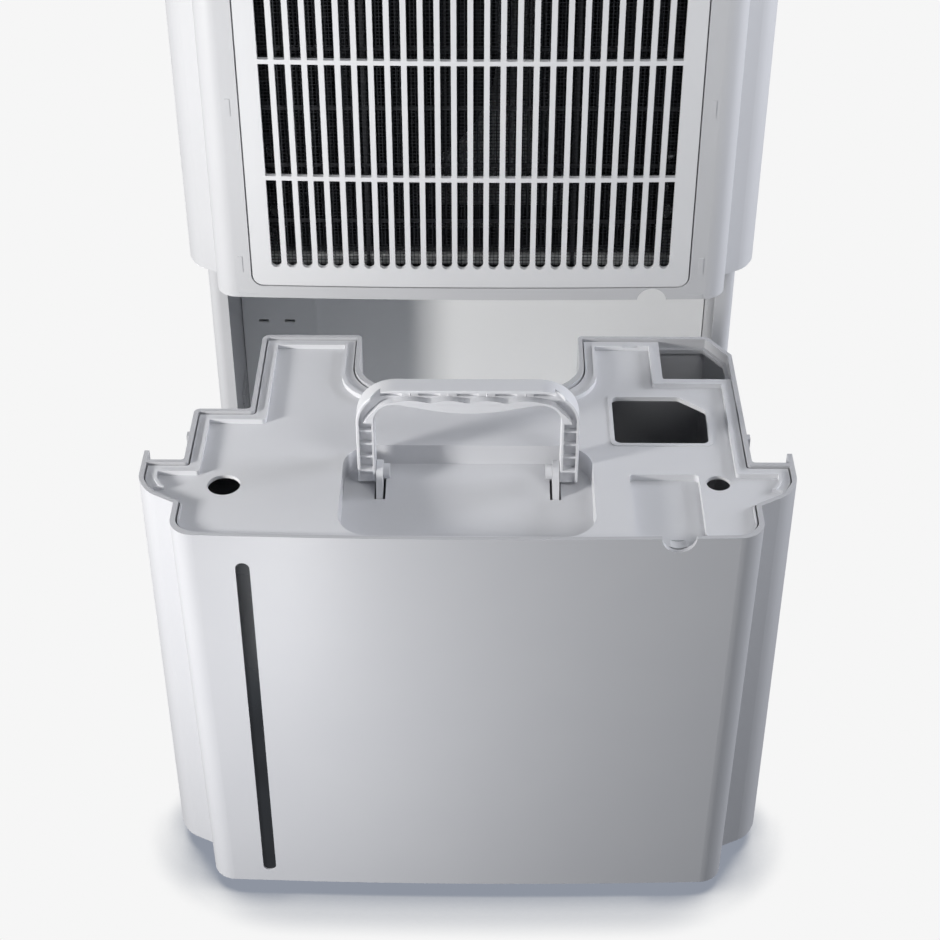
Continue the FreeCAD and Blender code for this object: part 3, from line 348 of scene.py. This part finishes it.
def disc(points, faces, centre, radius, height, sides=20):
    """Append a flat disc, open below, to a list of points and faces."""
    first = len(points)
    for level in (0.0, height):
        for i in range(sides):
            turn = 2 * math.pi * i / sides
            x = centre[0] + radius * math.cos(turn)
            y = centre[1] + radius * math.sin(turn)
            points.append((x, y, centre[2] + level))
    faces.append(tuple(first + sides + i for i in range(sides)))
    for i in range(sides):
        following = (i + 1) % sides
        faces.append((first + i, first + following, first + sides + following, first + sides + i))


def mark_key(number):
    """Print as many dots on a key as its number."""
    low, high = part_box("button_%d" % number)
    centre = ((low[0] + high[0]) / 2, (low[1] + high[1]) / 2)
    points, faces = [], []
    for i in range(number):
        turn = 2 * math.pi * i / number + math.pi / 2
        reach = 0.0 if number == 1 else DOT_RING
        x = centre[0] + reach * math.cos(turn)
        y = centre[1] + reach * math.sin(turn)
        disc(points, faces, (x, y, high[2] - DOT_SUNK), DOT_RADIUS, DOT_THICK)
    add_piece("key_mark_%d" % number, points, faces, mark_ink, "key_%d" % number)


for number in range(1, KEYS + 1):
    mark_key(number)
print("marked keys:", KEYS)

# %% [markdown]
# The floor is a plain white paper sweep, drawn as if lit so brightly that only the close contact shadow
# shows on it.
# So it glows evenly by itself, and an ambient-occlusion node darkens it towards a cool grey where something
# stands
# within six centimetres: that contact shadow is painted shade, not cast by the lamps. It is hidden from
# bounced light and from reflections, so its glow adds nothing to the machine. Its edges lie outside the main
# view, and it is staging, not part of the machine.

# %% Floor
SHADOW_REACH = 0.06
FLOOR_HALF = 6.0


def paper_sweep():
    """White that glows by itself, and turns a cool grey close to whatever stands on it as a painted contact
    shadow.
    """
    material, tree, shader, place = start_material("matt white paper sweep with painted contact shadow")
    near = add(tree, "ShaderNodeAmbientOcclusion", {"Distance": SHADOW_REACH}, samples=64)
    ramp = add(tree, "ShaderNodeMapRange", {"Value": near.outputs["AO"], "From Min": 0.64, "From Max": 0.87})
    # The cool grey is the painted contact shadow; the near-white is the floor's even glow.
    glow_with_painted_shadow = blend_colours(tree, ramp.outputs["Result"], "8E94A0", "F6F6F6")
    tree.links.new(glow_with_painted_shadow, shader.inputs["Emission Color"])
    shader.inputs["Base Color"].default_value = (0.0, 0.0, 0.0, 1.0)
    shader.inputs["Roughness"].default_value = 1.0
    shader.inputs["Specular IOR Level"].default_value = 0.0
    shader.inputs["Emission Strength"].default_value = 1.0
    return material


def make_floor():
    """One flat square under the machine."""
    corners = [(-FLOOR_HALF, -FLOOR_HALF, 0), (FLOOR_HALF, -FLOOR_HALF, 0),
               (FLOOR_HALF, FLOOR_HALF, 0), (-FLOOR_HALF, FLOOR_HALF, 0)]
    mesh = bpy.data.meshes.new("floor")
    mesh.from_pydata(corners, [], [(0, 1, 2, 3)])
    mesh.materials.append(paper_sweep())
    floor = bpy.data.objects.new("floor", mesh)
    bpy.context.scene.collection.objects.link(floor)
    floor.visible_diffuse = False
    floor.visible_glossy = False


make_floor()
print("floor reach of the contact shadow, metres:", SHADOW_REACH)

# %% [markdown]
# The room is a soft grey that is brighter on the left. It has no windows and no shapes, only a slow change
# of tone from one side to the other, and its light is what the shaded faces show.

# %% Room
ROOM_STRENGTH = 0.67


def make_room():
    """World light that goes from a darker grey on the right to a paler one on the left."""
    room = bpy.data.worlds.new("studio")
    bpy.context.scene.world = room
    room.use_nodes = True
    tree = room.node_tree
    tree.nodes.clear()
    way = add(tree, "ShaderNodeTexCoord").outputs["Generated"]
    axes = add(tree, "ShaderNodeSeparateXYZ", {"Vector": way})
    side = add(tree, "ShaderNodeMapRange", {
        "Value": axes.outputs["X"], "From Min": -1.0, "From Max": 1.0, "To Min": 1.0, "To Max": 0.0})
    tone = blend_colours(tree, side.outputs["Result"], "868A90", "BDBFC3")
    sky = add(tree, "ShaderNodeBackground", {"Color": tone, "Strength": ROOM_STRENGTH})
    add(tree, "ShaderNodeOutputWorld", {"Surface": sky.outputs["Background"]})


make_room()
print("room:", bpy.context.scene.world.name)

# %% [markdown]
# Five lamps light the machine. The key stands close, low at the front left, and is small enough to throw
# the handle's shadow on the lid. A tall strip lamp right in front of the bucket makes its front fall from
# bright to grey across its width. A lamp far off at the right keeps that side readable, and a weak one
# above lifts the lid and the cabinet. The last stands behind, where it lights the back and the top and
# nothing in front.

# %% Lamps
def soft_lamp(name, place, target, size, watts, tint):
    """Area lamp aimed at a target; size is its width and height in metres."""
    lamp = bpy.data.lights.new(name, "AREA")
    lamp.shape = "ELLIPSE" if size[0] == size[1] else "RECTANGLE"
    lamp.size, lamp.size_y = size
    lamp.energy = watts
    lamp.color = colour(tint)[:3]
    stand = bpy.data.objects.new(name, lamp)
    stand.location = place
    stand.rotation_euler = (Vector(target) - Vector(place)).to_track_quat("-Z", "Y").to_euler()
    stand.visible_camera = False
    bpy.context.scene.collection.objects.link(stand)
    print(name, "lamp, watts:", watts)


soft_lamp("key", (-0.80, -0.54, 0.50), (0.02, 0.0, 0.25), (0.13, 0.13), 9.2, "FFFDFA")
soft_lamp("strip", (-0.15, -0.52, 0.14), (-0.13, BUCKET_FRONT, 0.14), (0.05, 0.34), 0.54, "FDFDFF")
soft_lamp("rim", (1.3, 0.1, 0.7), (0.1, 0.0, 0.3), (0.6, 0.6), 14.8, "F8F9FF")
soft_lamp("top", (0.45, -0.6, 0.95), (0.05, -0.05, 0.35), (0.4, 0.4), 1.9, "FFFFFF")
soft_lamp("back", (0.0, 1.0, 1.15), (0.0, 0.2, 0.45), (0.3, 0.3), 13, "FFFFFF")

# %% [markdown]
# The camera stands a metre up in front of the machine and looks down at 37 degrees with a long lens, so
# upright edges only lean in a little. It is placed from the bucket's front face.

# %% Camera
CAMERA_ASIDE = 9.5 * MM
CAMERA_BACK = 858.0 * MM
CAMERA_UP = 1009.4 * MM
LENS_MM = 74.3
LOOK_DOWN = 37.2
TURN_LEFT = 0.5
camera = bpy.data.objects.new("camera", bpy.data.cameras.new("camera"))
camera.data.sensor_width = 36.0
camera.data.lens = LENS_MM
camera.location = (CAMERA_ASIDE, BUCKET_FRONT - CAMERA_BACK, CAMERA_UP)
camera.rotation_euler = Euler((math.radians(90 - LOOK_DOWN), 0, math.radians(TURN_LEFT)))
bpy.context.scene.collection.objects.link(camera)
bpy.context.scene.camera = camera
bpy.context.scene.view_settings.view_transform = "Standard"
print("camera, metres:", [round(value, 4) for value in camera.location])
